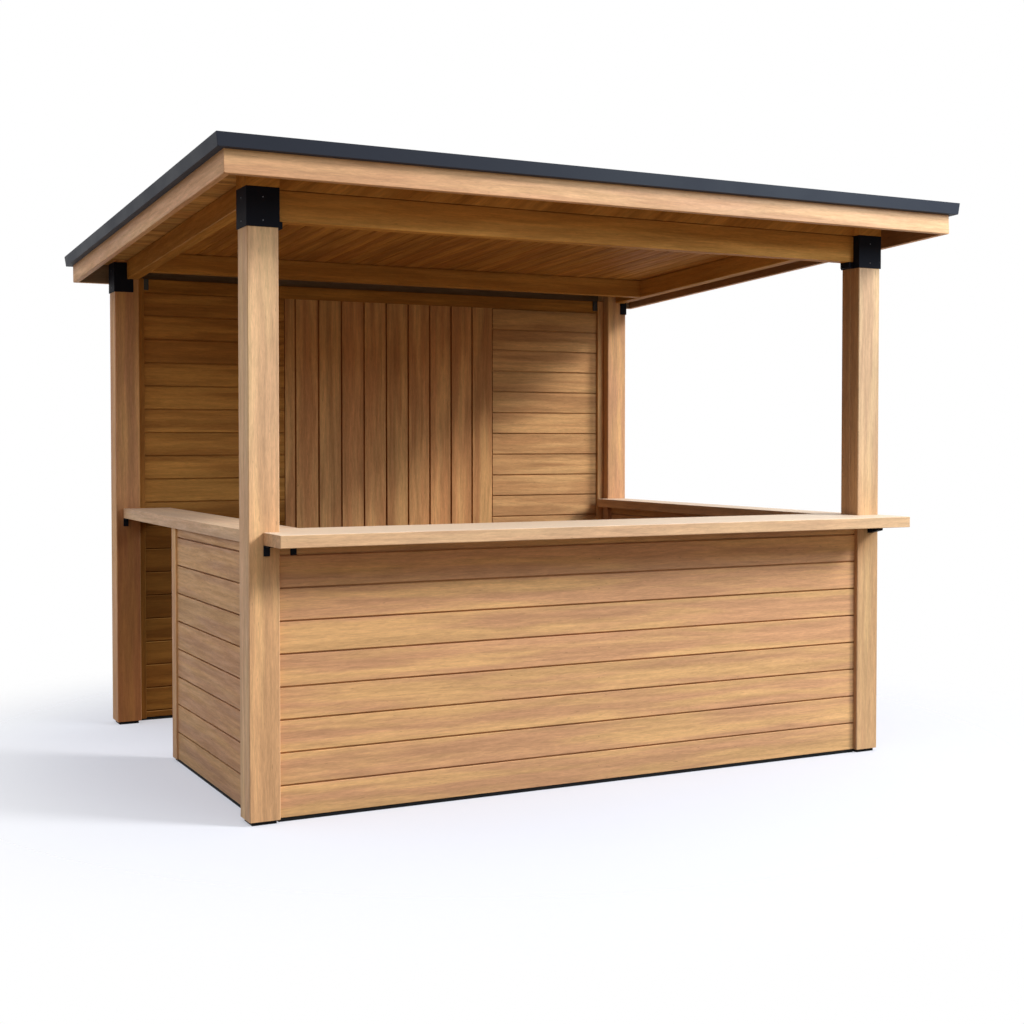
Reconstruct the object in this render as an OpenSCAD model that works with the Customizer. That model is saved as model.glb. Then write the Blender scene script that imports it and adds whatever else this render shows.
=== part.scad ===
// Garden bar gazebo: four posts, a low roof that falls to the back, half-height walls with bar counters
// on three sides and a full-height back wall. Millimetres, +Z up, front towards -Y.
// The origin is on the ground under the middle of the roof.

/* [Posts] */
// Width of the frame over the posts, left to right
frame_w = 3000; // [2400:10:3600]
// Depth of the frame over the posts, front to back
frame_d = 2350; // [1800:10:3000]
// Side of a square post
post_w = 120; // [90:1:160]
// Height of the rubber pad under each post
foot_h = 15; // [8:1:30]
// Side of that pad
foot_w = 96; // [60:1:110]
// Height of the top of the front posts and the front beam
front_top_z = 2378; // [2200:1:2500]

/* [Roof] */
// Fall of the roof towards the back in degrees
roof_pitch = 2.6; // [1:0.1:3.2]
// Height of the plate between the front beam and the ceiling
top_plate_h = 70; // [50:1:120]
// Reach of the roof past the posts on the left and right
side_overhang = 200; // [120:5:400]
// Reach of the roof in front of the front posts
front_overhang = 300; // [150:5:400]
// Reach of the roof behind the back posts
back_overhang = 128; // [90:1:400]
// Thickness of the ceiling boards
lining_t = 18; // [12:1:28]
// Thickness of the roof deck above the ceiling boards
deck_t = 16; // [10:1:40]
// Thickness of the roofing sheet
membrane_t = 3; // [2:0.5:6]

/* [Fascia and edge trim] */
// Depth of the fascia below the ceiling
fascia_drop = 95; // [60:1:140]
// Thickness of a fascia board
fascia_t = 27; // [18:1:40]
// Distance of the fascia behind the roof outline
fascia_in = 35; // [20:1:60]
// Sheet thickness of the edge trim
trim_t = 3; // [2:0.5:4]
// Height of the edge trim
trim_h = 50; // [40:1:80]
// Lean of the trim face, from the top edge in to the bottom edge
trim_lean = 6; // [2:0.5:12]
// Width of the trim flange that lies on the roof
trim_flange = 110; // [60:1:160]

/* [Beams] */
// Thickness of every beam
beam_t = 60; // [40:1:80]
// Height of the front beam
front_beam_h = 120; // [80:1:160]
// Distance of the front beam behind the front faces of the posts
front_beam_in = 38; // [20:1:60]
// Height of the side beams and the cross beam under the ceiling
side_beam_h = 95; // [70:1:120]
// Distance of the left beam from the outer face of its posts
left_beam_in = 60; // [10:1:60]
// Distance of the right beam from the outer face of its posts
right_beam_in = 10; // [5:1:60]
// Gap between the cross beam and the back posts
cross_gap = 220; // [40:5:600]

/* [Post brackets] */
// Plate thickness of the steel brackets
plate_t = 4; // [3:0.5:6]
// Height of a post bracket
bracket_h = 148; // [130:1:180]
// Gap between the back brackets and the ceiling
back_bracket_gap = 7; // [4:1:60]
// Width of the plate on the front of the back left post
back_left_plate_w = 92; // [50:1:120]
// Width of the plate on the front of the back right post
back_right_plate_w = 38; // [20:1:120]
// Length of the shoe under each end of the front beam
shoe_l = 25; // [8:1:40]
// Height of that shoe
shoe_h = 26; // [12:1:28]

/* [Walls] */
// Height of the black sole strip under the walls
sill_h = 12; // [8:1:20]
// Distance of the sole strip behind the wall faces
sill_in = 4; // [2:1:10]
// Thickness of the half-height walls
wall_t = 45; // [38:1:70]
// Distance of the front wall behind the post faces
front_wall_in = 21; // [10:1:50]
// Distance of the side walls behind the outer post faces
side_wall_in = 50; // [20:1:60]
// Length of the left wall from the front post to its end board
left_wall_l = 1110; // [600:10:1500]
// Width of the end board of the left wall
stile_w = 70; // [50:1:120]
// How far the end board stands proud of the left wall on each face
stile_proud = 8; // [4:1:15]
// Distance of the back wall behind the front faces of the back posts
back_wall_in = 72; // [30:1:76]
// Thickness of the back wall
back_wall_t = 40; // [30:1:50]
// Open gap between the back wall and the ceiling
back_wall_gap = 79; // [40:1:200]
// Height of the rail on the back wall
rail_h = 68; // [40:1:90]
// Distance of the upright panel from the left post faces
panel_at = 908; // [600:1:1100]
// Width of the upright panel in the back wall
panel_w = 1246; // [900:1:1500]
// Width of the battens beside the back posts
batten_w = 38; // [25:1:60]
// How far the battens stand proud of the back wall
batten_t = 19; // [10:1:30]

/* [Counters] */
// Height of the underside of the counters
counter_z = 1049; // [950:1:1150]
// Thickness of the counters
counter_t = 48; // [30:1:60]
// Reach of the front counter in front of the posts
counter_out = 197; // [120:1:300]
// Distance of the back edge of the front counter behind the post faces
counter_in = 215; // [180:1:300]
// Distance of the left end of the front counter from the left post face
counter_left = 57; // [20:1:100]
// Reach of the front counter past the right post
counter_right = 15; // [5:1:60]
// Distance of the left counter from the left post face
left_counter_at = 35; // [0:1:60]
// Width of the left counter
left_counter_w = 235; // [150:1:350]
// Distance of the right counter from the right post face
right_counter_at = 15; // [0:1:60]
// Width of the right counter
right_counter_w = 175; // [150:1:350]

/* [Small fittings] */
// Width of a counter bracket
angle_w = 24; // [16:1:40]
// Length of the upright leg of a counter bracket
angle_v = 41; // [25:1:60]
// Length of the leg under the counter
angle_l = 60; // [40:1:120]
// Plate thickness of a counter bracket
angle_t = 5; // [3:0.5:8]
// Width of the stout bracket on the front right post
gusset_w = 33; // [20:1:60]
// Distance of that bracket from the right face of the post
gusset_at = 30; // [0:1:60]
// Length of that bracket under the counter
gusset_l = 68; // [40:1:120]
// Height of that bracket on the post
gusset_h = 35; // [25:1:60]
// Height of its front end
gusset_tip = 20; // [5:1:24]
// Width of the clips at the top corners of the back wall
clip_w = 26; // [15:1:40]
// Height of those clips
clip_h = 56; // [30:1:65]
// How far the clips stand proud of the rail
clip_t = 10; // [5:1:20]

/* [Hidden] */

timber_tint = [0.66, 0.52, 0.38];
board_tint = [0.60, 0.46, 0.33];
counter_tint = [0.72, 0.58, 0.43];
steel_tint = [0.10, 0.10, 0.11];
trim_tint = [0.23, 0.24, 0.27];
rubber_tint = [0.05, 0.05, 0.05];

// One length past a face, for every cut
cut_over = post_w;

// Levels above the ceiling, measured square to the roof
deck_w = lining_t;
membrane_w = deck_w + deck_t;
flange_w = membrane_w + membrane_t;
trim_top_w = flange_w + trim_t;
trim_low_w = trim_top_w - trim_h;
deck_in = fascia_in + fascia_t;

// Roof outline, with its length measured along the slope
roof_w = frame_w + 2 * side_overhang;
roof_d = frame_d + front_overhang + back_overhang;
roof_l = roof_d / cos(roof_pitch);

// The roof is centred over the origin, so its tilt moves its own middle a little to the front
roof_y = -trim_top_w * sin(roof_pitch);

// Faces of the frame
x_left = -frame_w / 2;
x_right = frame_w / 2;
y_front = front_overhang - roof_d / 2;
y_back = y_front + frame_d;
y_back_post = y_back - post_w;
x_in_left = x_left + post_w;
x_in_right = x_right - post_w;
bay_w = x_in_right - x_in_left;
y_in_front = y_front + post_w;

// Height of the ceiling over the middle of the roof and over any point of the ground
y_beam = y_front + front_beam_in;
ceiling_z = front_top_z + top_plate_h + tan(roof_pitch) * (y_beam - roof_y);
function ceiling_at(y) = ceiling_z - tan(roof_pitch) * (y - roof_y);

// Beam and wall faces
y_cross = y_back_post - cross_gap - beam_t;
x_beam_left = x_left + left_beam_in;
x_beam_right = x_right - right_beam_in - beam_t;
front_beam_z = front_top_z - front_beam_h;
wall_h = counter_z - sill_h;
y_wall = y_front + front_wall_in;
x_wall_left = x_left + side_wall_in;
x_wall_right = x_right - side_wall_in - wall_t;
y_stile = y_in_front + left_wall_l;
y_back_wall = y_back_post + back_wall_in;
x_panel = x_left + panel_at;
x_panel_end = x_panel + panel_w;
back_wall_z = ceiling_at(y_back_wall) - back_wall_gap - rail_h;
back_wall_h = back_wall_z - sill_h;
back_bracket_z = ceiling_at(y_back) - back_bracket_gap;
y_counter = y_front + counter_in;

// A box from its low corner
module block(low, size) {
  translate(low)
    cube(size);
}

// A prism along X with its outline in the Y-Z plane
module prism_x(x, length, outline) {
  translate([x, 0, 0])
    rotate([90, 0, 90])
      linear_extrude(height = length)
        polygon(outline);
}

// Puts a piece drawn flat on the ceiling plane up on the tilted roof
module on_roof() {
  translate([0, roof_y, ceiling_z])
    rotate([-roof_pitch, 0, 0])
      children();
}

// A flat roof layer between two distances from the left outline
module roof_layer(low_w, thick, inset, x0, x1) {
  on_roof()
    translate([x0, -roof_l / 2 + inset, low_w])
      cube([x1 - x0, roof_l - 2 * inset, thick]);
}

// A piece along one roof edge, mitred at both ends
// The outline gives distance behind the roof edge and height above the ceiling
module roof_edge(run, reach, outline, depth) {
  translate([0, -reach, 0])
    intersection() {
      translate([-run / 2, 0, 0])
        rotate([90, 0, 90])
          linear_extrude(height = run)
            polygon(outline);
      translate([0, 0, -fascia_drop - cut_over])
        linear_extrude(height = fascia_drop + trim_top_w + 2 * cut_over)
          polygon([[-run / 2, 0], [run / 2, 0], [run / 2 - depth, depth], [-run / 2 + depth, depth]]);
    }
}

// Outline of a fascia board
fascia_outline = [
  [fascia_in, -fascia_drop],
  [deck_in, -fascia_drop],
  [deck_in, membrane_w],
  [fascia_in, membrane_w]
];

// Outline of the folded edge trim: roof flange, leaning face and lip back to the fascia
trim_outline = [
  [0, trim_top_w],
  [trim_lean, trim_low_w],
  [fascia_in, trim_low_w],
  [fascia_in, trim_low_w + trim_t],
  [trim_lean + trim_t, trim_low_w + trim_t],
  [trim_t, flange_w],
  [trim_flange, flange_w],
  [trim_flange, trim_top_w]
];

module fascia(run, reach, turn) {
  color(timber_tint)
    on_roof()
      rotate([0, 0, turn])
        roof_edge(run, reach, fascia_outline, deck_in);
}

module edge_trim(run, reach, turn) {
  color(trim_tint)
    on_roof()
      rotate([0, 0, turn])
        roof_edge(run, reach, trim_outline, trim_flange);
}

module fascia_front() {
  fascia(roof_w, roof_l / 2, 0);
}

module fascia_back() {
  fascia(roof_w, roof_l / 2, 180);
}

module fascia_left() {
  fascia(roof_l, roof_w / 2, -90);
}

module fascia_right() {
  fascia(roof_l, roof_w / 2, 90);
}

module edge_trim_front() {
  edge_trim(roof_w, roof_l / 2, 0);
}

module edge_trim_back() {
  edge_trim(roof_w, roof_l / 2, 180);
}

module edge_trim_left() {
  edge_trim(roof_l, roof_w / 2, -90);
}

module edge_trim_right() {
  edge_trim(roof_l, roof_w / 2, 90);
}

// Front posts end level with the front beam
module front_post(x) {
  color(timber_tint)
    block([x, y_front, foot_h], [post_w, post_w, front_top_z - foot_h]);
}

// Back posts are cut to the slope of the ceiling
module back_post(x) {
  color(timber_tint)
    prism_x(x, post_w, [
      [y_back_post, foot_h],
      [y_back, foot_h],
      [y_back, ceiling_at(y_back)],
      [y_back_post, ceiling_at(y_back_post)]
    ]);
}

module post_front_left() {
  front_post(x_left);
}

module post_front_right() {
  front_post(x_in_right);
}

module post_back_left() {
  back_post(x_left);
}

module post_back_right() {
  back_post(x_in_right);
}

module post_feet() {
  foot_in = (post_w - foot_w) / 2;
  color(rubber_tint)
    for (x = [x_left, x_in_right])
      for (y = [y_front, y_back_post])
        block([x + foot_in, y + foot_in, 0], [foot_w, foot_w, foot_h]);
}

// Steel sleeve round a front post top with a shoe under the front beam
module front_bracket(x, shoe_x) {
  low = front_top_z - bracket_h;
  color(steel_tint)
    union() {
      difference() {
        block([x - plate_t, y_front - plate_t, low], [post_w + 2 * plate_t, post_w + 2 * plate_t, bracket_h]);
        block([x, y_front, low - cut_over], [post_w, post_w, bracket_h + 2 * cut_over]);
      }
      block([shoe_x, y_beam, front_beam_z - shoe_h], [shoe_l, beam_t, shoe_h]);
    }
}

module bracket_front_left() {
  front_bracket(x_left, x_in_left + plate_t);
}

module bracket_front_right() {
  front_bracket(x_in_right, x_in_right - plate_t - shoe_l);
}

// Steel channel round the outer side of a back post top, with a plate of its own width on the front
module back_bracket(front_w) {
  low = back_bracket_z - bracket_h;
  color(steel_tint)
    union() {
      block([x_left - plate_t, y_back_post - plate_t, low], [plate_t, post_w + 2 * plate_t, bracket_h]);
      block([x_left, y_back_post - plate_t, low], [front_w, plate_t, bracket_h]);
      block([x_left, y_back, low], [post_w, plate_t, bracket_h]);
    }
}

module bracket_back_left() {
  back_bracket(back_left_plate_w);
}

module bracket_back_right() {
  mirror([1, 0, 0])
    back_bracket(back_right_plate_w);
}

module beam_front() {
  color(timber_tint)
    block([x_in_left + plate_t, y_beam, front_beam_z], [bay_w - 2 * plate_t, beam_t, front_beam_h]);
}

// Side beams run under the ceiling from the front brackets to the back brackets
module side_beam(x) {
  y0 = y_in_front + plate_t;
  y1 = y_back_post - plate_t;
  color(timber_tint)
    prism_x(x, beam_t, [
      [y0, ceiling_at(y0) - side_beam_h],
      [y1, ceiling_at(y1) - side_beam_h],
      [y1, ceiling_at(y1)],
      [y0, ceiling_at(y0)]
    ]);
}

module beam_left() {
  side_beam(x_beam_left);
}

module beam_right() {
  side_beam(x_beam_right);
}

module beam_cross() {
  y1 = y_cross + beam_t;
  x0 = x_beam_left + beam_t;
  color(timber_tint)
    prism_x(x0, x_beam_right - x0, [
      [y_cross, ceiling_at(y_cross) - side_beam_h],
      [y1, ceiling_at(y_cross) - side_beam_h],
      [y1, ceiling_at(y1)],
      [y_cross, ceiling_at(y_cross)]
    ]);
}

// Plate over the front beam and blocks over the front posts that lift the front of the roof
module front_top_plate() {
  y0 = y_front - plate_t;
  y1 = y_in_front + plate_t;
  y2 = y_beam + beam_t;
  block_w = post_w + 2 * plate_t;
  color(timber_tint)
    union() {
      prism_x(x_left, frame_w, [
        [y_beam, front_top_z],
        [y2, front_top_z],
        [y2, ceiling_at(y2)],
        [y_beam, ceiling_at(y_beam)]
      ]);
      for (x = [x_left - plate_t, x_in_right - plate_t])
        prism_x(x, block_w, [
          [y0, front_top_z],
          [y1, front_top_z],
          [y1, ceiling_at(y1)],
          [y0, ceiling_at(y0)]
        ]);
    }
}

// Ceiling boards meet the soffits over the middle of the side beams
module ceiling_panel() {
  color(board_tint)
    roof_layer(0, lining_t, deck_in, x_beam_left + beam_t / 2, x_beam_right + beam_t / 2);
}

module soffit_left() {
  color(board_tint)
    roof_layer(0, lining_t, deck_in, -roof_w / 2 + deck_in, x_beam_left + beam_t / 2);
}

module soffit_right() {
  color(board_tint)
    roof_layer(0, lining_t, deck_in, x_beam_right + beam_t / 2, roof_w / 2 - deck_in);
}

module roof_deck() {
  color(board_tint)
    roof_layer(deck_w, deck_t, deck_in, -roof_w / 2 + deck_in, roof_w / 2 - deck_in);
}

module roof_membrane() {
  color(steel_tint)
    roof_layer(membrane_w, membrane_t, fascia_in, -roof_w / 2 + fascia_in, roof_w / 2 - fascia_in);
}

module wall_front() {
  color(board_tint)
    block([x_in_left, y_wall, sill_h], [bay_w, wall_t, wall_h]);
}

module wall_left() {
  color(board_tint)
    block([x_wall_left, y_in_front, sill_h], [wall_t, left_wall_l, wall_h]);
}

module wall_left_stile() {
  color(timber_tint)
    block([x_wall_left - stile_proud, y_stile, sill_h], [wall_t + 2 * stile_proud, stile_w, wall_h]);
}

module wall_right() {
  color(board_tint)
    block([x_wall_right, y_in_front, sill_h], [wall_t, y_back_post - y_in_front, wall_h]);
}

module back_wall_part(x0, x1) {
  color(board_tint)
    block([x0, y_back_wall, sill_h], [x1 - x0, back_wall_t, back_wall_h]);
}

module back_wall_left() {
  back_wall_part(x_in_left, x_panel);
}

module back_wall_panel() {
  back_wall_part(x_panel, x_panel_end);
}

module back_wall_right() {
  back_wall_part(x_panel_end, x_in_right);
}

module back_wall_rail() {
  color(board_tint)
    block([x_in_left, y_back_wall, back_wall_z], [bay_w, back_wall_t, rail_h]);
}

module back_batten(x) {
  color(timber_tint)
    block([x, y_back_wall - batten_t, sill_h], [batten_w, batten_t, back_wall_h + rail_h]);
}

module back_batten_left() {
  back_batten(x_in_left);
}

module back_batten_right() {
  back_batten(x_in_right - batten_w);
}

// Black strips that keep the walls off the ground
module wall_sills() {
  side_w = wall_t - 2 * sill_in;
  back_w = back_wall_t - 2 * sill_in;
  color(rubber_tint)
    union() {
      block([x_in_left, y_wall + sill_in, 0], [bay_w, side_w, sill_h]);
      block([x_wall_left + sill_in, y_in_front, 0], [side_w, left_wall_l + stile_w - sill_in, sill_h]);
      block([x_wall_right + sill_in, y_in_front, 0], [side_w, y_back_post - y_in_front, sill_h]);
      block([x_in_left, y_back_wall + sill_in, 0], [bay_w, back_w, sill_h]);
    }
}

// The front counter is notched round both front posts
module counter_front() {
  x0 = x_left + counter_left;
  color(counter_tint)
    difference() {
      block([x0, y_front - counter_out, counter_z],
            [x_right + counter_right - x0, counter_out + counter_in, counter_t]);
      for (x = [x_left, x_in_right])
        block([x, y_front, counter_z - cut_over], [post_w, post_w, counter_t + 2 * cut_over]);
    }
}

module counter_left() {
  color(counter_tint)
    block([x_left + left_counter_at, y_counter, counter_z],
          [left_counter_w, y_back_post - y_counter, counter_t]);
}

module counter_right() {
  color(counter_tint)
    block([x_right - right_counter_at - right_counter_w, y_counter, counter_z],
          [right_counter_w, y_back_post - y_counter, counter_t]);
}

// A small angle under a counter, on a face that looks to the front
module angle_bracket(x, y) {
  block([x, y - angle_t, counter_z - angle_v], [angle_w, angle_t, angle_v]);
  block([x, y - angle_l, counter_z - angle_t], [angle_w, angle_l, angle_t]);
}

// A solid bracket that tapers to the front, on the front right post
module gusset_bracket(x, y) {
  prism_x(x, gusset_w, [
    [y, counter_z],
    [y - gusset_l, counter_z],
    [y - gusset_l, counter_z - gusset_tip],
    [y, counter_z - gusset_h]
  ]);
}

module counter_brackets() {
  color(steel_tint)
    union() {
      angle_bracket(x_left + counter_left, y_front);
      angle_bracket(x_in_left + 2 * angle_w, y_wall);
      gusset_bracket(x_right - gusset_at - gusset_w, y_front);
      angle_bracket(x_left + left_counter_at, y_back_post);
      angle_bracket(x_right - right_counter_at - angle_w, y_back_post);
    }
}

module wall_clips() {
  color(steel_tint)
    for (x = [x_in_left + batten_w, x_in_right - batten_w - clip_w])
      block([x, y_back_wall - clip_t, back_wall_z + rail_h - clip_h], [clip_w, clip_t, clip_h]);
}

post_front_left();
post_front_right();
post_back_left();
post_back_right();
post_feet();
bracket_front_left();
bracket_front_right();
bracket_back_left();
bracket_back_right();
beam_front();
beam_left();
beam_right();
beam_cross();
front_top_plate();
ceiling_panel();
soffit_left();
soffit_right();
roof_deck();
roof_membrane();
fascia_front();
fascia_back();
fascia_left();
fascia_right();
edge_trim_front();
edge_trim_back();
edge_trim_left();
edge_trim_right();
wall_front();
wall_left();
wall_left_stile();
wall_right();
back_wall_left();
back_wall_panel();
back_wall_right();
back_wall_rail();
back_batten_left();
back_batten_right();
wall_sills();
counter_front();
counter_left();
counter_right();
counter_brackets();
wall_clips();
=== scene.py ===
import math
import random

import bmesh
import bpy
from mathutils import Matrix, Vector


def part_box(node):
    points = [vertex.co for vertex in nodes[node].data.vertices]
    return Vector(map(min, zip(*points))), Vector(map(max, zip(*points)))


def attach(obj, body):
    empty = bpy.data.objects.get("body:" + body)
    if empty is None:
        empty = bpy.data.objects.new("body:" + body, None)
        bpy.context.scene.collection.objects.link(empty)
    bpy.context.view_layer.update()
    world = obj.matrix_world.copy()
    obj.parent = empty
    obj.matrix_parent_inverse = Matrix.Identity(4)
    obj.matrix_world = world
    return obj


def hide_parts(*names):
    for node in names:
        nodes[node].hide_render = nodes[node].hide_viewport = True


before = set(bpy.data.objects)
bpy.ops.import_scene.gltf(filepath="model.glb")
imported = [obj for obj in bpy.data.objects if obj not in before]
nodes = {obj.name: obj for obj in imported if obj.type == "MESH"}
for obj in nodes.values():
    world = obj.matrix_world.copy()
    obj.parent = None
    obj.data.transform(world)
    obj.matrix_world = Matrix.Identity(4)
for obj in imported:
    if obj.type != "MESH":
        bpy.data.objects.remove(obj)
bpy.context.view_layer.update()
scene = bpy.context.scene
scene.view_settings.view_transform = "Standard"

MM = 0.001
BODY = "root"

# Camera, fitted to the photograph
IMAGE_PX = 1024
FOCAL_PX = 1480.2
SENSOR_MM = 36.0
CAMERA_PLACE = (-3.132, -6.401, 1.436)
CAMERA_YAW = math.radians(27.184)
CAMERA_PITCH = math.radians(-1.524)
CAMERA_SHIFT_Y = -0.0305

# A soft sun: the way that its light travels, its strength, colour and width
SUN_TRAVEL = Vector((-1.35, 1.0, -1.03))
SUN_STRENGTH = 2.78
SUN_COLOUR = (1.0, 0.99, 0.99)
SUN_ANGLE = 0.24

# The sky's light: a height from straight down, -1, to straight up, 1, and the colour there
SKY_AHEAD = (
    (-0.06, (0.28, 0.225, 0.15)),
    (0.03, (0.5, 0.43, 0.33)),
    (0.2, (0.58, 0.53, 0.46)),
    (0.35, (0.42, 0.42, 0.42)),
    (0.6, (0.5, 0.53, 0.58)),
    (0.8, (0.9, 1.0, 1.15)),
    (1.0, (1.15, 1.27, 1.48)),
)
SKY_LEFT = (
    (-0.06, (0.3, 0.24, 0.16)),
    (0.03, (0.13, 0.11, 0.08)),
    (0.15, (0.15, 0.13, 0.11)),
    (0.4, (0.8, 0.84, 0.9)),
    (0.7, (1.7, 1.85, 2.1)),
    (1.0, (1.15, 1.27, 1.48)),
)
# The second list takes over where a direction points to the left by these shares
SKY_LEFT_AT = (0.2, 0.8)
WHITE = (1.0, 1.0, 1.0, 1.0)

# A light box from the front right
BOX_PLACE = Vector((2.9, -4.4, 3.5))
BOX_AIM = Vector((1.1, -1.0, 0.8))
BOX_SIZE = 1.6
BOX_POWER = 175.0
BOX_COLOUR = (0.6, 0.74, 0.86)

# The floor: its size, where it fades out, and its looks
FLOOR_RADIUS = 6.0
FLOOR_SIDES = 96
FLOOR_FADE = (1.5, 3.3)
FLOOR_SEEN = (0.455, 0.452, 0.468, 1.0)
FLOOR_GLOW = (0.315, 0.315, 0.335, 1.0)
# The light that it throws back, painted by place: painted shade on the left, painted sunlight on the right,
# and painted shade under the roof
FLOOR_LEFT_SHADE = (0.17, 0.125, 0.08, 1.0)
FLOOR_RIGHT_SUN = (0.64, 0.61, 0.56, 1.0)
FLOOR_TURN = (-0.8, 2.6)
FLOOR_INSIDE_SHADE = (0.035, 0.02, 0.01, 1.0)
FLOOR_INSIDE_AT = (1.6, 2.0)

# Boards, in metres
ROOF_PITCH = math.radians(2.6)
WALL_PITCH = 124.5 * MM
BACK_PITCH = 119.5 * MM
PANEL_FIRST = 63 * MM
PANEL_BOARDS = 9
CEILING_PITCH = 84 * MM
REAR_PITCH = 235 * MM
REAR_GROOVE_W = 9 * MM
PANEL_GROOVE_W = 9 * MM
SOFFIT_PITCH = 82 * MM
GROOVE_W = 6.5 * MM
GROOVE_DEPTH = 12 * MM
GROOVE_EDGE = 1.5 * MM
LINING_GROOVE_W = 4 * MM
LINING_GROOVE_DEPTH = 8 * MM
LINING_EDGE = 1 * MM
LEAST_BOARD = 6 * MM
POST_EDGE = 3 * MM
POST_JOINT_EDGE = 1 * MM
BEAM_EDGE = 3 * MM
BEAM_GAP_H = 4 * MM
BEAM_GAP_DEPTH = 10 * MM
TIMBER_EDGE = 3 * MM
PLATE_SLANT = math.radians(35)

# Metal edges and small fixings, in metres
METAL_EDGE = 1 * MM
EDGE_ANGLE = math.radians(30)
WELD_REACH = 0.02 * MM
SCREW_R = 2.4 * MM
SCREW_H = 1.6 * MM
SCREW_FROM_BOTTOM = 24 * MM
SCREW_FROM_TOP = 38 * MM
NAIL_R = 1.6 * MM
NAIL_H = 0.4 * MM
NAIL_ASIDE = 17 * MM
# A fixing's head from its foot to its socket, in shares of its radius and height
HEAD_RINGS = ((1.0, 0.0), (1.0, 0.45), (0.72, 0.9), (0.4, 1.0), (0.36, 0.35))
HEAD_SIDES = 12

# Wood finishes: the colours of gold and rose streaks, of 0 to 255, the gloss, and how much boards differ
FINISHES = {
    "wall": ((212, 164, 111), (197, 146, 106), 0.2, 0.12),
    "side": ((205, 156, 105), (189, 139, 98), 0.2, 0.12),
    "inner": ((214, 165, 112), (188, 139, 94), 0.02, 0.14),
    # A darker copy of the inner tone, as painted shade on the back wall's left part
    "deep": ((200, 143, 75), (172, 117, 60), 0.02, 0.14),
    "panel": ((224, 170, 113), (196, 139, 92), 0.02, 0.2),
    "lining": ((192, 134, 66), (164, 108, 52), 0.02, 0.22),
    "soffit": ((220, 172, 108), (186, 137, 82), 0.02, 0.45),
    # Darker sides of grooves, as painted shade in the grooves
    "groove": ((190, 129, 74), (164, 106, 60), 0.02, 0.2),
    # Nearly black boards behind the cross beam, as painted shade
    "rear": ((50, 44, 34), (33, 28, 20), 0.02, 0.6),
    "post": ((224, 184, 138), (209, 166, 127), 0.2, 0.1),
    "post_right_shaded": ((204, 169, 128), (190, 152, 117), 0.2, 0.1),
    # A darker copy of the post tone, as painted shade on the back left post
    "corner": ((212, 160, 104), (196, 141, 97), 0.2, 0.1),
    "fascia_rear_shaded": ((218, 172, 124), (208, 160, 115), 0.2, 0.1),
    "fascia": ((215, 168, 122), (204, 154, 113), 0.2, 0.1),
    "fascia_right": ((215, 168, 122), (204, 154, 113), 0.2, 0.1),
    "lintel_shaded": ((214, 158, 86), (192, 136, 70), 0.03, 0.12),
    "beam": ((197, 143, 74), (175, 122, 60), 0.03, 0.12),
    "ledge": ((209, 170, 130), (198, 157, 120), 0.3, 0.1),
    "counter": ((207, 167, 125), (195, 153, 115), 0.4, 0.1),
}
# Painted shade on faces that look one way: the way they face, the colour that the shade multiplies by, and
# the heights over which it ends, in metres
TO_FRONT, TO_LEFT, TO_GROUND = (0, -1, 0), (-1, 0, 0), (0, 0, -1)
ABOVE_ALL = (3.0, 4.0)
# Painted shade low on the front faces of the posts
LOW_FRONT_SHADE = (TO_FRONT, (0.93, 0.86, 0.75, 1.0), (0.8, 1.6))
PAINTED_SHADE = {
    "post": [LOW_FRONT_SHADE],
    # Painted shade on the front right post's left face, beside the low front shade
    "post_right_shaded": [LOW_FRONT_SHADE, (TO_LEFT, (0.8, 0.68, 0.56, 1.0), ABOVE_ALL)],
    # Painted shade low on the back left post's front face
    "corner": [(TO_FRONT, (0.55, 0.4, 0.27, 1.0), (0.9, 1.2))],
    # Painted shade on the back wall's left boards below the counter
    "deep": [(TO_FRONT, (0.48, 0.4, 0.31, 1.0), (1.0, 1.12))],
    # Painted shade on the undersides of the front beam and its plate
    "lintel_shaded": [(TO_GROUND, (0.78, 0.72, 0.62, 1.0), ABOVE_ALL)],
    # Painted shade on the counters' faces that look left
    "counter": [(TO_LEFT, (0.86, 0.78, 0.72, 1.0), ABOVE_ALL)],
    # Painted shade on the back fascia's inner face
    "fascia_rear_shaded": [(TO_FRONT, (0.4, 0.52, 0.75, 1.0), ABOVE_ALL)],
    # Painted shade on the right fascia's inner face
    "fascia_right": [(TO_LEFT, (0.4, 0.36, 0.3, 1.0), ABOVE_ALL)],
}
# How square to a direction a face has to be to look that way: from not at all to fully
FACING = (0.6, 1.0)
# The colour towards which counter tops are lightened, and how far: painted light on the faces that look up
COUNTER_TOP_LIGHT = (247, 225, 197)
TOP_LIGHT_SHARE = {"counter": 0.62, "ledge": 0.25}

# Marks in the wood: repeats in a metre along and across the grain, then the detail and roughness of the noise
MARKS = {
    "wander": (1.3, 5.0, 2.0, 0.5),
    "ripple": (9.0, 25.0, 2.0, 0.5),
    "streak": (1.2, 17.0, 2.5, 0.5),
    "band": (0.8, 24.0, 1.5, 0.5),
    "ring": (0.5, 6.0, 1.0, 0.4),
    "ring_run": (0.6, 4.0, 2.0, 0.5),
    "medium": (5.0, 75.0, 3.0, 0.55),
    "stroke": (17.0, 190.0, 2.0, 0.6),
    "fine": (36.0, 480.0, 2.0, 0.6),
    "pore": (45.0, 950.0, 1.0, 0.5),
    "fleck": (26.0, 120.0, 1.0, 0.5),
}
# How far the grain strays to the side, in metres
STRAY = {"wander": 0.03, "ripple": 0.006}
# Where the noise turns from gold to rose, and how far a board leans to one of them
STREAK_AT = (0.36, 0.62)
STREAK_LEAN = 0.12
# Growth lines: how many a swell of the noise holds, their edge, and where they come and go
RING_COUNT = 95.0
RING_EDGE = (0.1, 1.0)
RING_RUN_AT = (0.45, 0.65)
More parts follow.
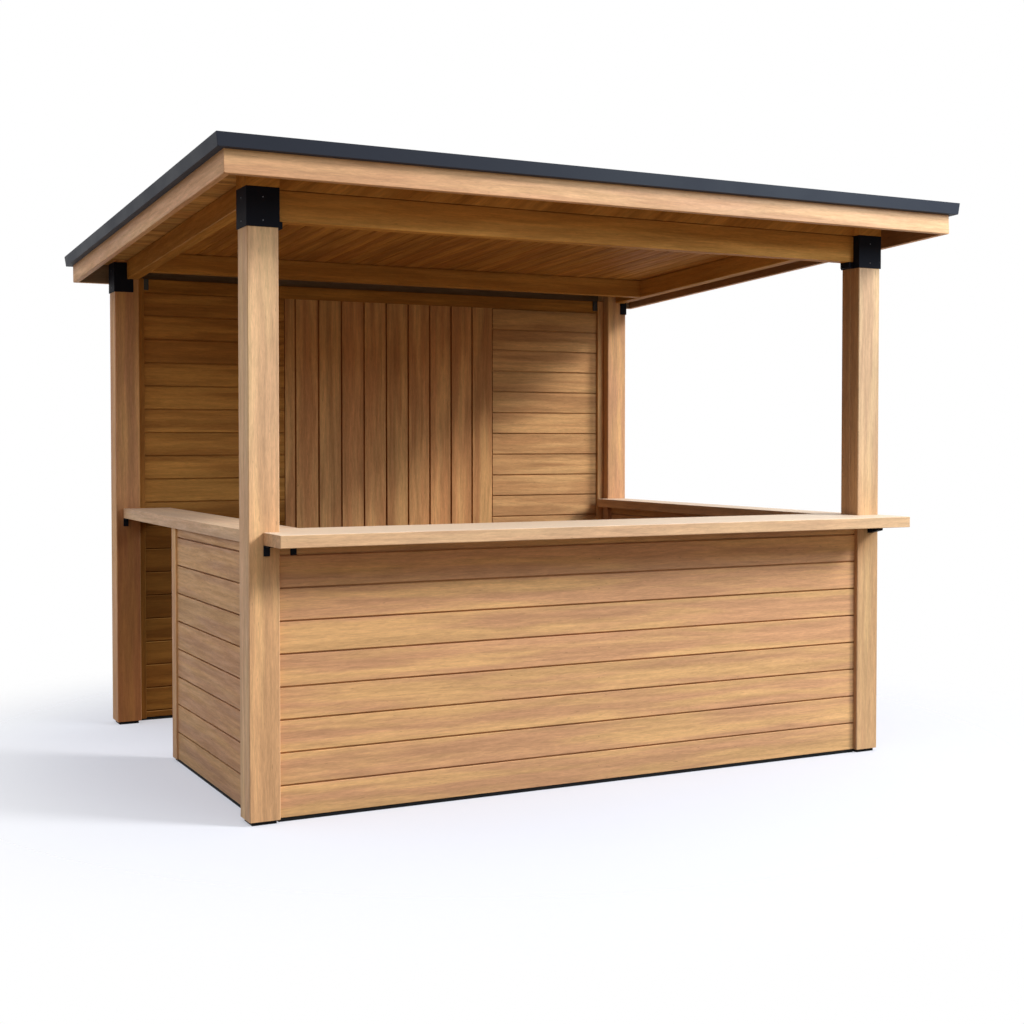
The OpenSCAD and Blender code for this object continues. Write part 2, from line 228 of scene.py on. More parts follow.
# Where pores and flecks begin and are whole
SHARP = {"pore": (0.58, 0.72), "fleck": (0.74, 0.8)}
# How much marks shade the wood to both sides, how much others darken it, and how much they stand up
SHADE_AT = (0.25, 0.75)
SHADE = {"band": 0.1, "medium": 0.11, "stroke": 0.07, "fine": 0.09}
DARKEN = {"ring": 0.07, "pore": 0.08, "fleck": 0.25}
RELIEF = {"medium": 0.4, "stroke": 0.4, "fine": 0.3, "pore": -0.3}
# The middle of a noise or a draw, and the part of a noise that counts
MIDDLE = 0.5
NOISE_AT = (0.3, 0.7)
WOOD_ROUGHNESS = (0.62, 0.48)
WOOD_BUMP = (0.35, 0.6 * MM)
# How far apart two pieces lie in the noise, and how far boards start along and across it
PIECES_APART = 40.0
BOARDS_APART = 30.0

# Coats: cloudy marks with a fine grit, and how far the roughness swings
CLOUD = (3.0, 3.0, 4.0, 0.6)
GRIT_DETAIL = (2.0, 0.6)
CLOUD_SHARE = 0.6
COAT_SWING = 0.06
COAT_BUMP = (0.25, 0.3 * MM)


def linear(rgb):
    """A colour of 0 to 255 in sRGB as linear red, green, blue and alpha."""
    shares = [c / 255 for c in rgb]
    return tuple(s / 12.92 if s <= 0.04045 else ((s + 0.055) / 1.055) ** 2.4 for s in shares) + (1.0,)


class Graph:
    """Short words for building one node tree."""

    def __init__(self, tree):
        self.tree = tree

    def feed(self, socket, value):
        if isinstance(value, bpy.types.NodeSocket):
            self.tree.links.new(value, socket)
        else:
            socket.default_value = value

    def node(self, kind, inputs=None, **settings):
        made = self.tree.nodes.new(kind)
        for key, value in settings.items():
            setattr(made, key, value)
        for key, value in (inputs or {}).items():
            self.feed(made.inputs[key], value)
        return made

    def math(self, operation, a, b=0.0):
        return self.node("ShaderNodeMath", {0: a, 1: b}, operation=operation).outputs[0]

    def stretch(self, vector, scale):
        made = self.node("ShaderNodeVectorMath", {0: vector, 1: scale}, operation="MULTIPLY")
        return made.outputs[0]

    def noise(self, vector, along, across, detail, roughness):
        scaled = self.stretch(vector, (along, across, across))
        inputs = {"Vector": scaled, "Scale": 1.0, "Detail": detail, "Roughness": roughness}
        return self.node("ShaderNodeTexNoise", inputs).outputs["Fac"]

    def spread(self, value, low, high, to_low=0.0, to_high=1.0):
        inputs = {"Value": value, "From Min": low, "From Max": high, "To Min": to_low, "To Max": to_high}
        return self.node("ShaderNodeMapRange", inputs, interpolation_type="SMOOTHSTEP").outputs[0]

    def mix(self, share, a, b, blend="MIX"):
        made = self.node("ShaderNodeMix", data_type="RGBA", blend_type=blend)
        for index, value in ((0, share), (6, a), (7, b)):
            self.feed(made.inputs[index], value)
        return made.outputs[2]

    def ramp(self, value, stops):
        made = self.node("ShaderNodeValToRGB", {0: value})
        steps = made.color_ramp.elements
        steps.remove(steps[1])
        for index, (at, rgb) in enumerate(stops):
            step = steps[0] if index == 0 else steps.new(at)
            step.position = at
            step.color = (*rgb, 1.0)
        return made.outputs[0]

    def bump(self, height, strength, distance):
        inputs = {"Height": height, "Strength": strength, "Distance": distance}
        return self.node("ShaderNodeBump", inputs).outputs[0]


def new_material(name):
    """A new material, its graph and its shader."""
    material = bpy.data.materials.new(name)
    material.use_nodes = True
    return material, Graph(material.node_tree), material.node_tree.nodes["Principled BSDF"]


def wood_figure():
    """The figure of oiled wood: x runs along the grain, in metres."""
    tree = bpy.data.node_groups.new("wood_figure", "ShaderNodeTree")
    for name, kind in (
        ("Grain", "Vector"),
        ("Tone", "Float"),
        ("Vary", "Float"),
        ("Gold", "Color"),
        ("Rose", "Color"),
    ):
        tree.interface.new_socket(name, in_out="INPUT", socket_type="NodeSocket" + kind)
    for name, kind in (("Color", "Color"), ("Roughness", "Float"), ("Height", "Float")):
        tree.interface.new_socket(name, in_out="OUTPUT", socket_type="NodeSocket" + kind)
    g = Graph(tree)
    given = g.node("NodeGroupInput").outputs
    tone = g.math("SUBTRACT", given["Tone"], MIDDLE)

    # The grain strays a little from side to side
    aside = 0.0
    for name, reach in STRAY.items():
        sway = g.math("SUBTRACT", g.noise(given["Grain"], *MARKS[name]), MIDDLE)
        aside = g.math("ADD", g.math("MULTIPLY", sway, reach), aside)
    shift = g.node("ShaderNodeCombineXYZ", {"Y": aside, "Z": aside}).outputs[0]
    grain = g.node("ShaderNodeVectorMath", {0: given["Grain"], 1: shift}, operation="ADD").outputs[0]
    mark = {name: g.noise(grain, *noise) for name, noise in MARKS.items() if name not in STRAY}

    # Broad streaks of gold and rose, more of one or the other from board to board
    streak = g.math("ADD", mark["streak"], g.math("MULTIPLY", tone, STREAK_LEAN))
    colour = g.mix(g.spread(streak, *STREAK_AT), given["Gold"], given["Rose"])

    # Arched growth lines, which come and go along the board, and pores and flecks
    arches = g.spread(g.math("SINE", g.math("MULTIPLY", mark["ring"], RING_COUNT)), *RING_EDGE)
    mark["ring"] = g.math("MULTIPLY", arches, g.spread(mark["ring_run"], *RING_RUN_AT))
    for name, edges in SHARP.items():
        mark[name] = g.spread(mark[name], *edges)

    # All of them shade the colour, and some stand up or lie deep
    shade = g.math("ADD", 1.0, g.math("MULTIPLY", tone, given["Vary"]))
    for name, depth in SHADE.items():
        shade = g.math("MULTIPLY", shade, g.spread(mark[name], *SHADE_AT, 1.0 - depth, 1.0 + depth))
    for name, depth in DARKEN.items():
        shade = g.math("MULTIPLY", shade, g.math("SUBTRACT", 1.0, g.math("MULTIPLY", mark[name], depth)))
    shade = g.node("ShaderNodeCombineColor", {0: shade, 1: shade, 2: shade}).outputs[0]
    height = 0.0
    for name, rise in RELIEF.items():
        height = g.math("ADD", g.math("MULTIPLY", mark[name], rise), height)
    out = g.node("NodeGroupOutput")
    g.feed(out.inputs["Color"], g.mix(1.0, colour, shade, "MULTIPLY"))
    g.feed(out.inputs["Roughness"], g.spread(mark["medium"], *NOISE_AT, *WOOD_ROUGHNESS))
    g.feed(out.inputs["Height"], height)
    return tree


def painted_light_on_top(g, colour, share):
    """The colour of a counter, lightened on the face that looks up: painted light."""
    facing = g.node("ShaderNodeNewGeometry").outputs["True Normal"]
    rise = g.node("ShaderNodeSeparateXYZ", {0: facing}).outputs["Z"]
    return g.mix(g.spread(rise, *FACING, 0.0, share), colour, linear(COUNTER_TOP_LIGHT))


def painted_shade(g, colour, way, shade_colour, heights):
    """The colour with painted shade on faces that look one way, up to a height."""
    here = g.node("ShaderNodeNewGeometry").outputs
    square = g.node("ShaderNodeVectorMath", {0: here["True Normal"], 1: way}, operation="DOT_PRODUCT")
    height = g.node("ShaderNodeSeparateXYZ", {0: here["Position"]}).outputs["Z"]
    toward = g.spread(square.outputs["Value"], *FACING)
    share = g.math("MULTIPLY", toward, g.spread(height, *heights, 1.0, 0.0))
    return g.mix(share, colour, g.mix(1.0, colour, shade_colour, "MULTIPLY"))


WOOD_FIGURE = wood_figure()
# The grain's own axis first, then the two across it
AXES = {"X": "XYZ", "Y": "YXZ", "Z": "ZXY"}


def wood(tone, along=None, turn=(0.0, 0.0, 0.0)):
    """Oiled wood. Built boards carry their own grain; a CAD piece takes its grain along an axis."""
    name = "wood_" + tone + ("" if along is None else "_along_" + along.lower())
    if name in bpy.data.materials:
        return bpy.data.materials[name]
    material, g, shader = new_material(name)
    if along is None:
        grain = g.node("ShaderNodeAttribute", attribute_name="grain").outputs["Vector"]
        pick = g.node("ShaderNodeAttribute", attribute_name="tone").outputs["Fac"]
    else:
        pick = g.node("ShaderNodeObjectInfo").outputs["Random"]
        spot = g.node("ShaderNodeTexCoord").outputs["Object"]
        turned = g.node("ShaderNodeMapping", {"Vector": spot, "Rotation": turn}).outputs[0]
        split = g.node("ShaderNodeSeparateXYZ", {0: turned}).outputs
        far = g.math("MULTIPLY", pick, PIECES_APART)
        first, second, third = (split[axis] for axis in AXES[along])
        parts = {"X": g.math("ADD", first, far), "Y": g.math("ADD", second, far), "Z": third}
        grain = g.node("ShaderNodeCombineXYZ", parts).outputs[0]
    gold, rose, gloss, vary = FINISHES[tone]
    figure = g.node("ShaderNodeGroup", node_tree=WOOD_FIGURE)
    given = {"Grain": grain, "Tone": pick, "Vary": vary, "Gold": linear(gold), "Rose": linear(rose)}
    for key, value in given.items():
        g.feed(figure.inputs[key], value)
    colour = figure.outputs["Color"]
    # Painted light on the tops of counters
    if tone in TOP_LIGHT_SHARE:
        colour = painted_light_on_top(g, colour, TOP_LIGHT_SHARE[tone])
    # Painted shade on the faces that the table of painted shade names
    for way, shade_colour, heights in PAINTED_SHADE.get(tone, []):
        colour = painted_shade(g, colour, way, shade_colour, heights)
    g.feed(shader.inputs["Base Color"], colour)
    g.feed(shader.inputs["Roughness"], figure.outputs["Roughness"])
    g.feed(shader.inputs["Normal"], g.bump(figure.outputs["Height"], *WOOD_BUMP))
    shader.inputs["Specular IOR Level"].default_value = gloss
    return material


def coated(name, dark, pale, roughness, grit_scale, gloss, metallic=0.0):
    """A painted or moulded surface: a fine grit with faint cloudy marks."""
    material, g, shader = new_material(name)
    spot = g.node("ShaderNodeTexCoord").outputs["Object"]
    cloud = g.noise(spot, *CLOUD)
    grit = g.noise(spot, grit_scale, grit_scale, *GRIT_DETAIL)
    share = g.math("ADD", g.math("MULTIPLY", cloud, CLOUD_SHARE), g.math("MULTIPLY", grit, 1.0 - CLOUD_SHARE))
    g.feed(shader.inputs["Base Color"], g.mix(g.spread(share, *NOISE_AT), linear(dark), linear(pale)))
    rough = g.spread(cloud, *NOISE_AT, roughness - COAT_SWING, roughness + COAT_SWING)
    g.feed(shader.inputs["Roughness"], rough)
    g.feed(shader.inputs["Normal"], g.bump(grit, *COAT_BUMP))
    shader.inputs["Metallic"].default_value = metallic
    shader.inputs["Specular IOR Level"].default_value = gloss
    return material


STEEL = coated("black_powder_coat", (20, 21, 27), (26, 27, 34), 0.55, 900.0, gloss=0.04)
CLIP = coated("dull_zinc", (40, 35, 30), (66, 58, 48), 0.5, 900.0, gloss=0.3, metallic=0.6)
TRIM = coated("anthracite_coat", (28, 32, 42), (32, 36, 47), 0.55, 700.0, gloss=0.18)
RUBBER = coated("black_rubber", (8, 8, 9), (15, 15, 16), 0.75, 500.0, gloss=0.15)
ROOFING = coated("roofing_sheet", (46, 48, 52), (56, 58, 63), 0.9, 260.0, gloss=0.05)
SCREW = coated("plain_screw", (96, 96, 100), (130, 130, 134), 0.4, 1200.0, gloss=0.5, metallic=0.8)
NAIL = coated("dulled_nail", (62, 44, 30), (84, 62, 44), 0.55, 900.0, gloss=0.3, metallic=0.4)


class Boards:
    """Collects boards into one mesh, each with its own grain and tone."""

    def __init__(self, name, seed):
        self.name = name
        self.draw = random.Random(seed)
        self.points = []
        self.faces = []
        self.grain = []
        self.tone = []
        self.finish = []

    def add(self, origin, axes, length, profile, finish=0, edge=None):
        """One board: its profile, given across and in depth, runs along the first axis from the origin.

        Where an edge is given, the sides of its grooves, which lie further in than that, take the next
        finish, which darkens them as painted shade.
        """
        along, across, depth = axes
        start = [self.draw.uniform(0.0, BOARDS_APART) for _ in axes]
        tone = self.draw.random()
        first = len(self.points)
        count = len(profile)
        for a in (0.0, length):
            for b, d in profile:
                self.points.append(origin + along * a + across * b + depth * d)
                self.grain.append((start[0] + a, start[1] + b, start[2] + d))
                self.tone.append(tone)
        self.faces.append([first + i for i in range(count)])
        self.faces.append([first + count + i for i in range(count)])
        self.finish += [finish, finish]
        thickness = max(d for b, d in profile)
        for i in range(count):
            j = (i + 1) % count
            self.faces.append([first + i, first + j, first + count + j, first + count + i])
            ends = (profile[i][1], profile[j][1])
            in_groove = edge is not None and min(ends) >= edge and max(ends) <= thickness - edge
            self.finish.append(finish + 1 if in_groove else finish)

    def make(self, materials, slot, *stands_for):
        """The finished piece, in place of the CAD nodes named."""
        mesh = bpy.data.meshes.new(self.name)
        mesh.from_pydata([tuple(p) for p in self.points], [], self.faces)
        shape = bmesh.new()
        shape.from_mesh(mesh)
        bmesh.ops.recalc_face_normals(shape, faces=shape.faces)
        shape.to_mesh(mesh)
        shape.free()
        grain = mesh.attributes.new("grain", "FLOAT_VECTOR", "POINT")
        grain.data.foreach_set("vector", [x for point in self.grain for x in point])
        tone = mesh.attributes.new("tone", "FLOAT", "POINT")
        tone.data.foreach_set("value", self.tone)
        mesh.polygons.foreach_set("material_index", self.finish)
        return place(self.name, mesh, materials, slot, *stands_for)


def place(name, mesh, materials, slot, *stands_for):
    """Puts a made mesh in the scene, riding on the gazebo."""
    piece = bpy.data.objects.new(name, mesh)
    scene.collection.objects.link(piece)
    for material in materials:
        mesh.materials.append(material)
    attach(piece, BODY)
    if stands_for:
        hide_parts(*stands_for)
    return piece


def tongued(width, thickness, groove_w=GROOVE_W, groove_depth=GROOVE_DEPTH, edge=GROOVE_EDGE):
    """Profile of a board that leaves a groove beside its neighbour on both faces."""
    half = groove_w / 2
    lower = [(0.0, thickness - groove_depth), (0.0, groove_depth), (half, groove_depth), (half, edge)]
    face = [(half + edge, 0.0), (width - half - edge, 0.0)]
    upper = [(width - b, d) for b, d in reversed(lower)]
    rear = [(b, thickness - d) for b, d in reversed(face)]
    steps = [(half, thickness - edge), (half, thickness - groove_depth)]
    far_steps = [(width - b, d) for b, d in reversed(steps)]
    return lower + face + upper + far_steps + rear + steps


def squared(width, thickness, edges):
    """Profile of a squared timber: the four edges are taken off by the amounts given, in turn."""
    points = []
    corners = ((0, 0), (1, 0), (1, 1), (0, 1))
    for (i, j), edge in zip(corners, edges):
        b, d = i * width, j * thickness
        inward_b, inward_d = edge * (1 - 2 * i), edge * (1 - 2 * j)
        pair = [(b, d + inward_d), (b + inward_b, d)]
        points += pair if i == j else pair[::-1]
    return points


X, Y, Z = Vector((1, 0, 0)), Vector((0, 1, 0)), Vector((0, 0, 1))
DOWN_ROOF = Vector((0, math.cos(ROOF_PITCH), -math.sin(ROOF_PITCH)))
OFF_ROOF = Vector((0, math.sin(ROOF_PITCH), math.cos(ROOF_PITCH)))


def courses(total, pitch):
    """Starts and widths of boards laid side by side, the last one cut to fit."""
    laid = []
    start = 0.0
    while total - start > LEAST_BOARD:
        laid.append((start, min(pitch, total - start)))
        start += pitch
    return laid


def level_wall(node, seed, pitch, along, depth, tone, from_top=False):
    """A wall of level boards in place of a CAD wall."""
    low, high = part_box(node)
    size = high - low
    boards = Boards("boards_" + node, seed)
    for start, width in courses(size.z, pitch):
        rise = size.z - start - width if from_top else start
        boards.add(low + Z * rise, (along, Z, depth), size.dot(along), tongued(width, size.dot(depth)))
    return boards.make([wood(tone)], "boards", node)


def upright_panel(node, seed, tone):
    """The back wall's panel of upright boards, with one narrow board at its left edge."""
    low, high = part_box(node)
    size = high - low
    boards = Boards("boards_" + node, seed)
    pitch = (size.x - PANEL_FIRST) / PANEL_BOARDS
    laid = [(0.0, PANEL_FIRST)] + [(PANEL_FIRST + i * pitch, pitch) for i in range(PANEL_BOARDS)]
    for start, width in laid:
        profile = tongued(width, size.y, PANEL_GROOVE_W)
        boards.add(low + X * start, (Z, X, Y), size.z, profile, edge=GROOVE_EDGE)
    # The second finish darkens the sides of the grooves: painted shade
    return boards.make([wood(tone), wood("groove")], "boards", node)


def roof_slab(node):
    """Front lower corner of a slab that lies with the roof, and its width, length and thickness."""
    low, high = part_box(node)
    size = high - low
    cos, sin, both = math.cos(ROOF_PITCH), math.sin(ROOF_PITCH), math.cos(2 * ROOF_PITCH)
    length = (size.y * cos - size.z * sin) / both
    thickness = (size.z * cos - size.y * sin) / both
    return Vector((low.x, low.y, low.z + length * sin)), size.x, length, thickness


def lining_board(width, thickness, groove_w=LINING_GROOVE_W):
    """Profile of a lining board."""
    return tongued(width, thickness, groove_w, LINING_GROOVE_DEPTH, LINING_EDGE)


def ceiling(node, seed):
    """Ceiling boards laid front to back, with much darker boards behind the cross beam as painted shade."""
    corner, width, length, thickness = roof_slab(node)
    cross_low, cross_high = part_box("beam_cross")
    front_run = ((cross_low.y + cross_high.y) / 2 - corner.y) / DOWN_ROOF.y
    boards = Boards("boards_" + node, seed)
    front = (0, 0.0, front_run, CEILING_PITCH, LINING_GROOVE_W)
    rear = (1, front_run, length - front_run, REAR_PITCH, REAR_GROOVE_W)
    for finish, start, run, pitch, groove_w in (front, rear):
        for aside, board_w in courses(width, pitch):
            origin = corner + X * aside + DOWN_ROOF * start
            profile = lining_board(board_w, thickness, groove_w)
            boards.add(origin, (DOWN_ROOF, X, OFF_ROOF), run, profile, finish)
    return boards.make([wood("lining"), wood("rear")], "boards", node)


def soffit(node, seed):
    """Soffit boards beside the ceiling, laid from side to side."""
    corner, width, length, thickness = roof_slab(node)
    boards = Boards("boards_" + node, seed)
    for start, board_w in courses(length, SOFFIT_PITCH):
        origin = corner + DOWN_ROOF * start
        boards.add(origin, (X, DOWN_ROOF, OFF_ROOF), width, lining_board(board_w, thickness))
    return boards.make([wood("soffit")], "boards", node)


def rebated(height, thickness, drop=0.0):
    """Profile of a beam with a narrow open joint along its two top edges; drop lowers its rear top edge."""
    rear = height - drop
    near, far = BEAM_GAP_DEPTH, thickness - BEAM_GAP_DEPTH
    return [
        (0.0, BEAM_EDGE),
        (BEAM_EDGE, 0.0),
        (height - BEAM_GAP_H, 0.0),
        (height - BEAM_GAP_H, near),
        (height, near),
        (rear, far),
        (rear - BEAM_GAP_H, far),
        (rear - BEAM_GAP_H, thickness),
        (BEAM_EDGE, thickness),
        (0.0, thickness - BEAM_EDGE),
    ]


def level_beam(node, seed, tone, slope=0.0):
    """A beam from side to side, in place of its CAD beam, whose top may slope with the roof."""
    low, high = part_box(node)
    size = high - low
    boards = Boards("timber_" + node, seed)
    boards.add(low, (X, Z, Y), size.x, rebated(size.z, size.y, size.y * math.tan(slope)))
    return boards.make([wood(tone)], "timber", node)


def roof_beam(node, seed):
    """A beam that runs from front to back with the fall of the roof, its ends upright."""
    low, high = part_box(node)
    size = high - low
    height = size.z - size.y * math.tan(ROOF_PITCH)
    boards = Boards("timber_" + node, seed)
    origin = Vector((low.x, low.y, high.z - height))
    boards.add(origin, (DOWN_ROOF, Z, X), size.y / DOWN_ROOF.y, rebated(height, size.x))
    return boards.make([wood("beam")], "timber", node)


def post(node, seed, tone):
    """A post glued up from two halves, whose joint shows on the left and right faces."""
    low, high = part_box(node)
    size = high - low
    half = size.y / 2
    boards = Boards("glued_" + node, seed)
    outer = squared(size.x, half, (POST_EDGE, POST_EDGE, POST_JOINT_EDGE, POST_JOINT_EDGE))
    inner = squared(size.x, half, (POST_JOINT_EDGE, POST_JOINT_EDGE, POST_EDGE, POST_EDGE))
    boards.add(low, (Z, X, Y), size.z, outer)
    boards.add(low + Y * half, (Z, X, Y), size.z, inner)
    return boards.make([wood(tone)], "timber", node)


def dress(node, material, edge=0.0):
    """Gives a CAD piece its finish and takes the sharpness off its edges."""
    piece = nodes[node]
    piece.data.materials.clear()
    piece.data.materials.append(material)
    if edge:
        piece.modifiers.new("weld", "WELD").merge_threshold = WELD_REACH
        bevel = piece.modifiers.new("edges", "BEVEL")
        bevel.width = edge
        bevel.segments = 2
        bevel.limit_method = "ANGLE"
        bevel.angle_limit = EDGE_ANGLE
        bevel.harden_normals = False
        piece.modifiers.new("shading", "WEIGHTED_NORMAL").keep_sharp = True


def button_heads(name, spots, radius, height, material):
    """Round fixing heads with a small socket, in one mesh. A spot is a place and the way it faces."""
    points, faces = [], []
    for centre, way in spots:
        side = way.orthogonal().normalized()
        other = way.cross(side)
        first = len(points)
        for reach, rise in HEAD_RINGS:
            for i in range(HEAD_SIDES):
                turn = math.tau * i / HEAD_SIDES
                flat = side * math.cos(turn) + other * math.sin(turn)
                points.append(centre + flat * reach * radius + way * rise * height)
        last = first + (len(HEAD_RINGS) - 1) * HEAD_SIDES
        for base in range(first, last, HEAD_SIDES):
            above = base + HEAD_SIDES
            for i in range(HEAD_SIDES):
                j = (i + 1) % HEAD_SIDES
                faces.append([base + i, base + j, above + j, above + i])
        faces.append([last + i for i in range(HEAD_SIDES)])
    mesh = bpy.data.meshes.new(name)
    mesh.from_pydata([tuple(p) for p in points], [], faces)
    return place(name, mesh, [material], "bracket_steel")


def bracket_screws():
    """Two screws, one over the other, on each outer face of the four post brackets."""
    spots = []
    for side, x_way in (("left", -X), ("right", X)):
        for end, y_way in (("front", -Y), ("back", Y)):
            low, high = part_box(f"post_{end}_{side}")
            outer_low, outer_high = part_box(f"bracket_{end}_{side}")
            middle = (low + high) / 2
            heights = (outer_low.z + SCREW_FROM_BOTTOM, outer_high.z - SCREW_FROM_TOP)
            face_x = outer_low.x if side == "left" else outer_high.x
            face_y = outer_low.y if end == "front" else outer_high.y
            for z in heights:
                spots.append((Vector((face_x, middle.y, z)), x_way))
                spots.append((Vector((middle.x, face_y, z)), y_way))
    return button_heads("bracket_screws", spots, SCREW_R, SCREW_H, SCREW)


def wall_nails():
    """One nail in the middle of each board of the low walls, where the middle stud stands behind."""
    spots = []
    for node, along, way in (("wall_front", X, -Y), ("wall_left", Y, -X), ("wall_right", Y, X)):
        low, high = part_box(node)
        middle = (low + high) / 2 + along * NAIL_ASIDE
        face = high if max(way) > 0 else low
        for start, width in courses(high.z - low.z, WALL_PITCH):
            spot = Vector((middle.x, middle.y, low.z + start + width / 2))
            spot += way * (abs(face.dot(way) - spot.dot(way)))
            spots.append((spot, way))
    return button_heads("wall_nails", spots, NAIL_R, NAIL_H, NAIL)


def white_to_eye(g):
    """1 where the ray comes from the camera, or by a mirror or glass, and 0 for light that is shed."""
    path = g.node("ShaderNodeLightPath").outputs
    shiny = g.math("MAXIMUM", path["Is Glossy Ray"], path["Is Transmission Ray"])
    return g.math("MAXIMUM", path["Is Camera Ray"], shiny)


def make_floor():
    """A pale floor that keeps the shadow and fades into the white backdrop."""
    mesh = bpy.data.meshes.new("floor")
    turns = [math.tau * i / FLOOR_SIDES for i in range(FLOOR_SIDES)]
    rim = [(FLOOR_RADIUS * math.cos(turn), FLOOR_RADIUS * math.sin(turn), 0.0) for turn in turns]
    mesh.from_pydata(rim, [], [range(FLOOR_SIDES)])
    floor = bpy.data.objects.new("floor", mesh)
    scene.collection.objects.link(floor)
    material, g, shader = new_material("pale_floor")
    material.node_tree.nodes.remove(shader)
    seen = g.node("ShaderNodeBsdfDiffuse", {"Color": FLOOR_SEEN}).outputs[0]
    glow = g.node("ShaderNodeEmission", {"Color": FLOOR_GLOW}).outputs[0]
    pale = g.node("ShaderNodeAddShader", {0: seen, 1: glow}).outputs[0]
    spot = g.node("ShaderNodeNewGeometry").outputs["Position"]
    away = g.node("ShaderNodeVectorMath", {0: spot}, operation="LENGTH").outputs["Value"]
    aside = g.node("ShaderNodeSeparateXYZ", {0: spot}).outputs["X"]
    # Painted light and shade in the light that the floor throws back
    around = g.mix(g.spread(aside, *FLOOR_TURN), FLOOR_LEFT_SHADE, FLOOR_RIGHT_SUN)
    under = g.mix(g.spread(away, *FLOOR_INSIDE_AT), FLOOR_INSIDE_SHADE, around)
    bounce = g.node("ShaderNodeBsdfDiffuse", {"Color": under}).outputs[0]
    lit = g.node("ShaderNodeMixShader", {0: white_to_eye(g), 1: bounce, 2: pale}).outputs[0]
    clear = g.node("ShaderNodeBsdfTransparent").outputs[0]
    fade = g.spread(away, *FLOOR_FADE)
    both = g.node("ShaderNodeMixShader", {0: fade, 1: lit, 2: clear}).outputs[0]
    g.feed(material.node_tree.nodes["Material Output"].inputs["Surface"], both)
    mesh.materials.append(material)


def add_lamp(name, kind, colour, power, travel):
    """A lamp whose light travels the way given."""
    lamp = bpy.data.lights.new(name, kind)
    lamp.energy = power
    lamp.color = colour
    holder = bpy.data.objects.new(name, lamp)
    holder.rotation_euler = travel.to_track_quat("-Z", "Y").to_euler()
    scene.collection.objects.link(holder)
    return holder


def make_lights():
    """A soft sun, and a light box from the front right."""
    sun = add_lamp("sun", "SUN", SUN_COLOUR, SUN_STRENGTH, SUN_TRAVEL)
    sun.data.angle = SUN_ANGLE
    box = add_lamp("light_box", "AREA", BOX_COLOUR, BOX_POWER, BOX_AIM - BOX_PLACE)
    box.data.size = BOX_SIZE
    box.location = BOX_PLACE
    box.visible_camera = False


def make_sky():
    """A plain sky that sheds more light from some heights than from others, and looks white."""
    world = bpy.data.worlds.new("studio")
    scene.world = world
    world.use_nodes = True
    world.node_tree.nodes.clear()
    g = Graph(world.node_tree)
    way = g.node("ShaderNodeTexCoord").outputs["Generated"]
    split = g.node("ShaderNodeSeparateXYZ", {0: way}).outputs
    rise = g.node("ShaderNodeMapRange", {"Value": split["Z"], "From Min": -1.0}).outputs[0]
    left = g.spread(g.math("MULTIPLY", split["X"], -1.0), *SKY_LEFT_AT)
    colours = []
    for stops in (SKY_AHEAD, SKY_LEFT):
        colours.append(g.ramp(rise, [((height + 1) / 2, rgb) for height, rgb in stops]))
    sky = g.node("ShaderNodeBackground", {"Color": g.mix(left, *colours)}).outputs[0]
    white = g.node("ShaderNodeBackground", {"Color": WHITE, "Strength": 1.0}).outputs[0]
    both = g.node("ShaderNodeMixShader", {0: white_to_eye(g), 1: sky, 2: white}).outputs[0]
    g.node("ShaderNodeOutputWorld", {"Surface": both})


def make_camera():
    """The camera at the photograph's place, with its image centre a little over the optical axis."""
    lens = bpy.data.cameras.new("camera")
    lens.sensor_width = SENSOR_MM
    lens.lens = SENSOR_MM * FOCAL_PX / IMAGE_PX
    lens.shift_y = CAMERA_SHIFT_Y
    camera = bpy.data.objects.new("camera", lens)
    camera.location = CAMERA_PLACE
    camera.rotation_euler = (math.pi / 2 + CAMERA_PITCH, 0.0, -CAMERA_YAW)
    scene.collection.objects.link(camera)
    scene.camera = camera


make_camera()
make_lights()
make_sky()
make_floor()

# Board walls
level_wall("wall_front", 11, WALL_PITCH, X, Y, "wall")
level_wall("wall_left", 12, WALL_PITCH, Y, X, "side")
level_wall("wall_right", 13, WALL_PITCH, Y, X, "side")
# The left section takes the darker copy of the inner tone, with painted shade below the counter
level_wall("back_wall_left", 14, BACK_PITCH, X, Y, "deep", from_top=True)
level_wall("back_wall_right", 15, BACK_PITCH, X, Y, "inner", from_top=True)
upright_panel("back_wall_panel", 16, "panel")

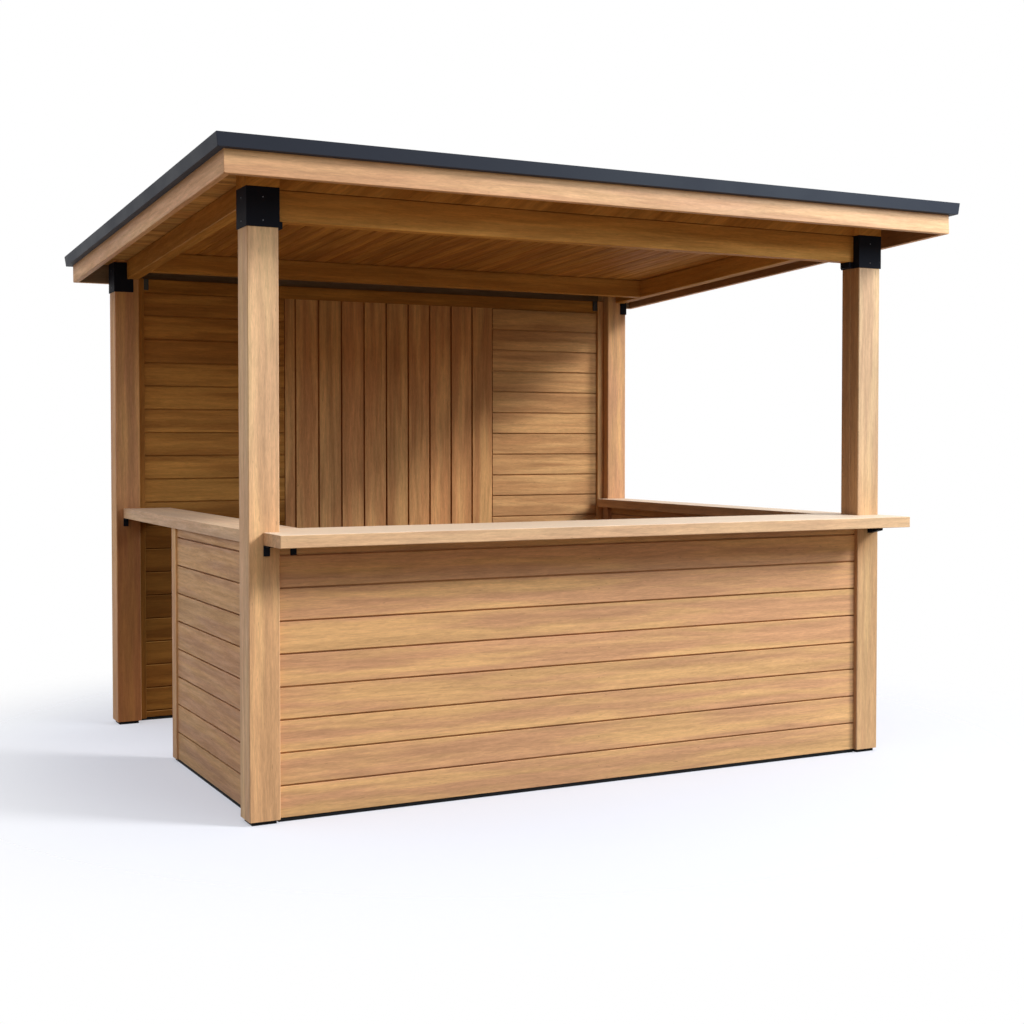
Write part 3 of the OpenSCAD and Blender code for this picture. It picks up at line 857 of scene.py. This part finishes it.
# Lining under the roof
ceiling("ceiling_panel", 21)
soffit("soffit_left", 22)
soffit("soffit_right", 23)

# Posts and beams
post("post_front_left", 31, "post")
post("post_front_right", 32, "post_right_shaded")
# The back left post takes the darker corner tone: painted shade
post("post_back_left", 33, "corner")
post("post_back_right", 34, "wall")
level_beam("beam_front", 35, "lintel_shaded")
level_beam("beam_cross", 36, "beam", ROOF_PITCH)
roof_beam("beam_left", 37)
roof_beam("beam_right", 38)

# Timber pieces from the frame: tone, grain and edge
dress("front_top_plate", wood("lintel_shaded", "X", (0.0, PLATE_SLANT, 0.0)), TIMBER_EDGE)
dress("fascia_front", wood("fascia", "X"), TIMBER_EDGE)
dress("fascia_back", wood("fascia_rear_shaded", "X"), TIMBER_EDGE)
dress("fascia_left", wood("fascia", "Y", (ROOF_PITCH, 0.0, 0.0)), TIMBER_EDGE)
dress("fascia_right", wood("fascia_right", "Y", (ROOF_PITCH, 0.0, 0.0)), TIMBER_EDGE)
dress("wall_left_stile", wood("wall", "Z"), TIMBER_EDGE)
# The battens and the rail take darker tones than the wall around them: painted shade, where they lie in
# shadow
dress("back_batten_left", wood("deep", "Z"), TIMBER_EDGE)
dress("back_batten_right", wood("inner", "Z"), TIMBER_EDGE)
dress("back_wall_rail", wood("lining", "X"), TIMBER_EDGE)
dress("counter_front", wood("counter", "X"), TIMBER_EDGE)
dress("counter_right", wood("counter", "Y"), TIMBER_EDGE)
dress("counter_left", wood("ledge", "Y"), TIMBER_EDGE)
dress("roof_deck", wood("lining", "X"))

# Metal, rubber and roofing
for side in ("left", "right"):
    for end in ("front", "back"):
        dress(f"bracket_{end}_{side}", STEEL, METAL_EDGE)
dress("counter_brackets", STEEL, METAL_EDGE)
dress("wall_clips", CLIP, METAL_EDGE)
for side in ("front", "back", "left", "right"):
    dress(f"edge_trim_{side}", TRIM, METAL_EDGE)
dress("post_feet", RUBBER, METAL_EDGE)
dress("wall_sills", RUBBER, METAL_EDGE)
dress("roof_membrane", ROOFING)
bracket_screws()
wall_nails()
